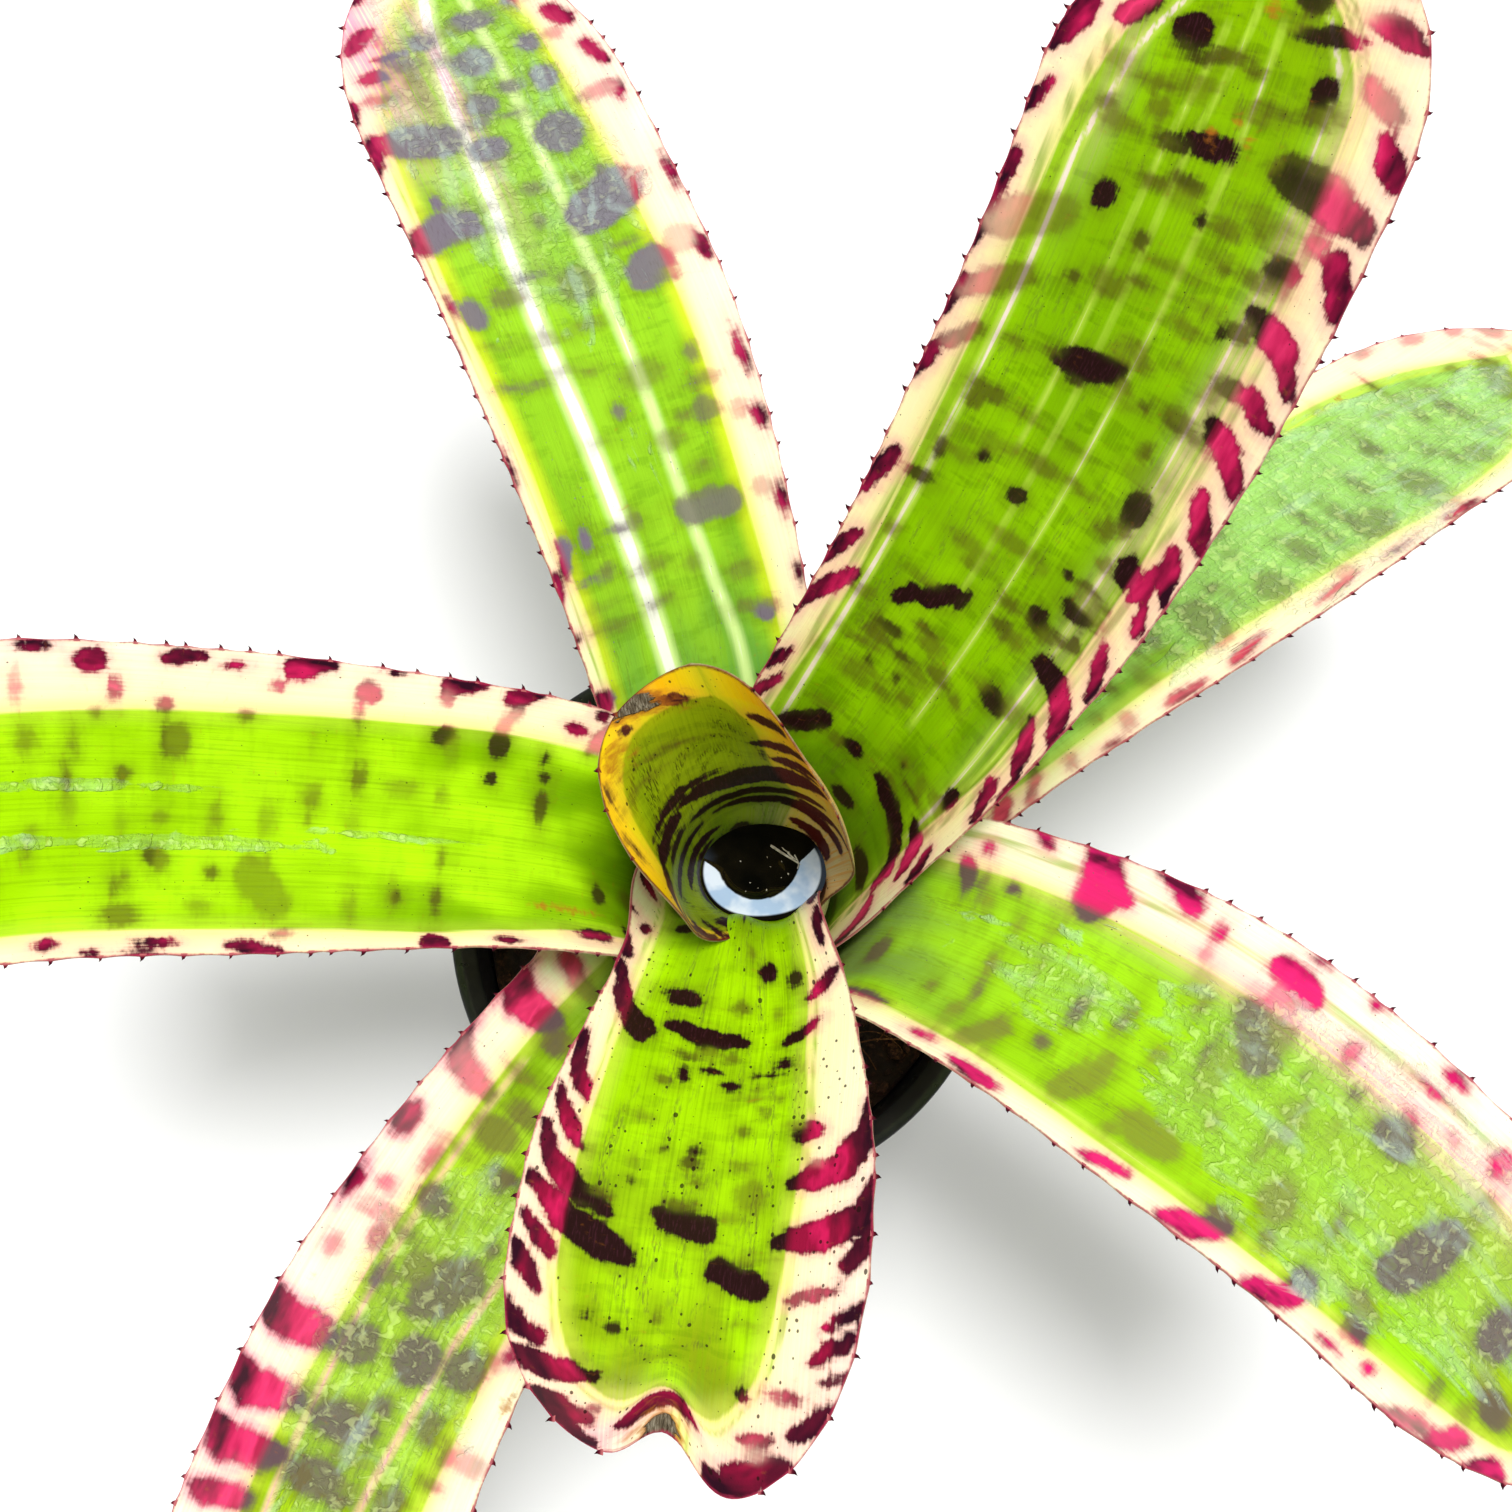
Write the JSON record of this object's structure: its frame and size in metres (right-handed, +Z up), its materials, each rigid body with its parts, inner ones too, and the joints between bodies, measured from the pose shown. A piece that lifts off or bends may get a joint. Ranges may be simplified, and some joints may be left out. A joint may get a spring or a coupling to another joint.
{
  "type": "potted bromeliad",
  "caption": "Tank bromeliad with banded, pale-margined strap leaves round a small water tank, growing in a plain round nursery pot.",
  "frame": {"origin": "centre of the pot's flat base, on the surface it stands on", "axes": "+Z up; the front leaf points towards -Y and the picture's right is +X"},
  "size_m": [0.3755, 0.3925, 0.2861],
  "materials": {
    "pot_plastic": "satin black",
    "bark_mix": "rough composted bark",
    "stem_tissue": "fibrous",
    "water": "clear",
    "heart_leaf": "waxy, banded",
    "leaf": "waxy, cream margins with crimson bands"
  },
  "bodies": {
    "root": {"nursery_pot": "pot_plastic", "potting_mix": "bark_mix", "stem": "stem_tissue", "tank_water": "water", "leaf_1_heart": "heart_leaf", "leaf_2_front": "leaf", "leaf_3_upper_right": "leaf", "leaf_4_left": "leaf", "leaf_5_lower_right": "leaf", "leaf_6_upper_left": "leaf", "leaf_7_lower_left": "leaf", "leaf_8_right": "leaf"}
  },
  "joints": []
}
